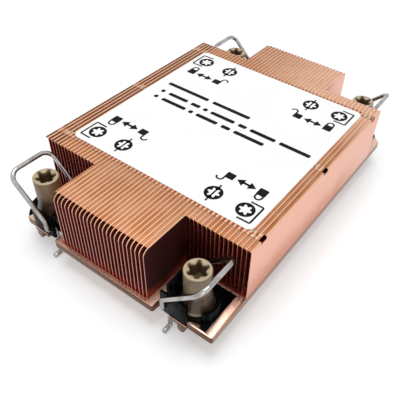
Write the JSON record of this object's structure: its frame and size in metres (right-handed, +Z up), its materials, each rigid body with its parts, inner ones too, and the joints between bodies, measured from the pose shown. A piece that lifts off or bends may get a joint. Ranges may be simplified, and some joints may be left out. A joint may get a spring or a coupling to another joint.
{
  "type": "server cpu heatsink",
  "caption": "Low passive copper heatsink with stacked folded fins, a flat base, and a captive nut and a wire bail at each corner.",
  "frame": {"origin": "middle of the bounding box, at the underside of the wire hooks", "axes": "+X across the fins to the right, +Y along the fins to the rear, +Z up"},
  "size_m": [0.078, 0.118, 0.0312],
  "materials": {
    "base_copper": "satin copper plate",
    "fin_copper": "bright folded copper sheet",
    "label_film": "matt white film",
    "black_plastic": "semi-gloss black moulding",
    "tan_plastic": "satin tan moulding",
    "wire_steel": "drawn steel wire"
  },
  "bodies": {
    "heatsink_body": {"base_plate": "base_copper", "front_left_bracket": "black_plastic", "front_right_bracket": "black_plastic", "left_wing_fins": "fin_copper", "long_fin_01": "fin_copper", "long_fin_02": "fin_copper", "long_fin_03": "fin_copper", "long_fin_04": "fin_copper", "long_fin_05": "fin_copper", "long_fin_06": "fin_copper", "long_fin_07": "fin_copper", "long_fin_08": "fin_copper", "long_fin_09": "fin_copper", "long_fin_10": "fin_copper", "long_fin_11": "fin_copper", "long_fin_12": "fin_copper", "long_fin_13": "fin_copper", "long_fin_14": "fin_copper", "long_fin_15": "fin_copper", "long_fin_16": "fin_copper", "long_fin_17": "fin_copper", "long_fin_18": "fin_copper", "long_fin_19": "fin_copper", "long_fin_20": "fin_copper", "long_fin_21": "fin_copper", "long_fin_22": "fin_copper", "long_fin_23": "fin_copper", "long_fin_24": "fin_copper", "rear_left_bracket": "black_plastic", "rear_right_bracket": "black_plastic", "right_wing_fins": "fin_copper", "top_label": "label_film"},
    "front_left_nut_body": {"front_left_nut": "tan_plastic"},
    "front_left_wire_body": {"front_left_wire": "wire_steel"},
    "front_right_nut_body": {"front_right_nut": "tan_plastic"},
    "front_right_wire_body": {"front_right_wire": "wire_steel"},
    "rear_left_nut_body": {"rear_left_nut": "tan_plastic"},
    "rear_left_wire_body": {"rear_left_wire": "wire_steel"},
    "rear_right_nut_body": {"rear_right_nut": "tan_plastic"},
    "rear_right_wire_body": {"rear_right_wire": "wire_steel"}
  },
  "joints": [
    {"name": "front_left_nut_turn", "type": "hinge", "parent": "heatsink_body", "child": "front_left_nut_body", "pos_m": [-0.0291, -0.0506, 0.012], "axis": [0, 0, 1], "continuous": true},
    {"name": "front_left_wire_swing", "type": "hinge", "parent": "heatsink_body", "child": "front_left_wire_body", "pos_m": [-0.023, -0.0506, 0.0125], "axis": [0, -1, 0], "range_deg": [-50, 25]},
    {"name": "front_right_nut_turn", "type": "hinge", "parent": "heatsink_body", "child": "front_right_nut_body", "pos_m": [0.0291, -0.0506, 0.012], "axis": [0, 0, 1], "continuous": true},
    {"name": "front_right_wire_swing", "type": "hinge", "parent": "heatsink_body", "child": "front_right_wire_body", "pos_m": [0.023, -0.0506, 0.0125], "axis": [0, 1, 0], "range_deg": [-50, 25]},
    {"name": "rear_left_nut_turn", "type": "hinge", "parent": "heatsink_body", "child": "rear_left_nut_body", "pos_m": [-0.0291, 0.0506, 0.012], "axis": [0, 0, 1], "continuous": true},
    {"name": "rear_left_wire_swing", "type": "hinge", "parent": "heatsink_body", "child": "rear_left_wire_body", "pos_m": [-0.023, 0.0506, 0.0125], "axis": [0, -1, 0], "range_deg": [-50, 25]},
    {"name": "rear_right_nut_turn", "type": "hinge", "parent": "heatsink_body", "child": "rear_right_nut_body", "pos_m": [0.0291, 0.0506, 0.012], "axis": [0, 0, 1], "continuous": true},
    {"name": "rear_right_wire_swing", "type": "hinge", "parent": "heatsink_body", "child": "rear_right_wire_body", "pos_m": [0.023, 0.0506, 0.0125], "axis": [0, 1, 0], "range_deg": [-50, 25]}
  ]
}
